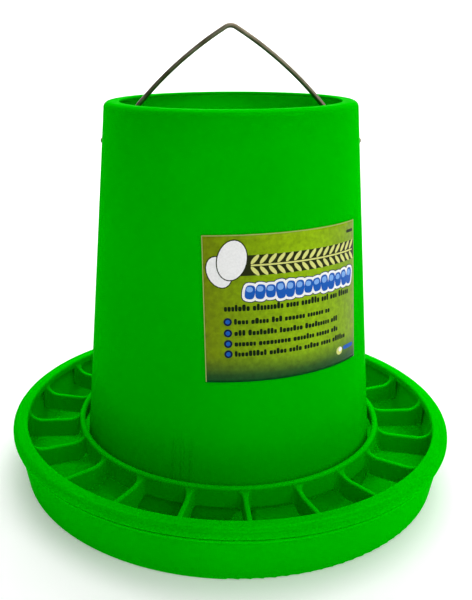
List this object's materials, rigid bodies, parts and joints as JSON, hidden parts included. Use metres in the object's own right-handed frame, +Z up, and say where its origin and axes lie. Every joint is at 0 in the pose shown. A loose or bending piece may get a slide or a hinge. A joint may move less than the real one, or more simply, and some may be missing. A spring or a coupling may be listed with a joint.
{
  "type": "gravity poultry feeder",
  "caption": "Round plastic feeder: tapered hopper twist-locked on a shallow trough pan, finned scatter guard ring and wire hanging bail.",
  "frame": {"origin": "centre of the pan's base, on the surface it stands on", "axes": "+Z up along the hopper's axis; -Y is the front, where the label faces; X is the bail's pivot axis"},
  "size_m": [0.38, 0.38, 0.3784],
  "materials": {
    "pan": "glossy green polypropylene",
    "scatter_guard": "glossy green polypropylene",
    "hopper": "glossy green polypropylene",
    "bail_handle": "drawn steel wire",
    "label": "satin printed vinyl"
  },
  "bodies": {
    "pan": {"pan": "pan"},
    "guard": {"scatter_guard": "scatter_guard"},
    "hopper": {"hopper": "hopper", "label": "label"},
    "bail": {"bail_handle": "bail_handle"}
  },
  "joints": [
    {"name": "twist_lock", "type": "hinge", "parent": "pan", "child": "hopper", "pos_m": [0, 0, 0.1], "axis": [0, 0, 1], "range_deg": [0, 20]},
    {"name": "bail_swing", "type": "hinge", "parent": "hopper", "child": "bail", "pos_m": [0, 0, 0.285], "axis": [1, 0, 0], "range_deg": [-180, 180]},
    {"name": "guard_lift", "type": "slide", "parent": "pan", "child": "guard", "axis": [0, 0, 1], "range_m": [0, 0.36]}
  ]
}
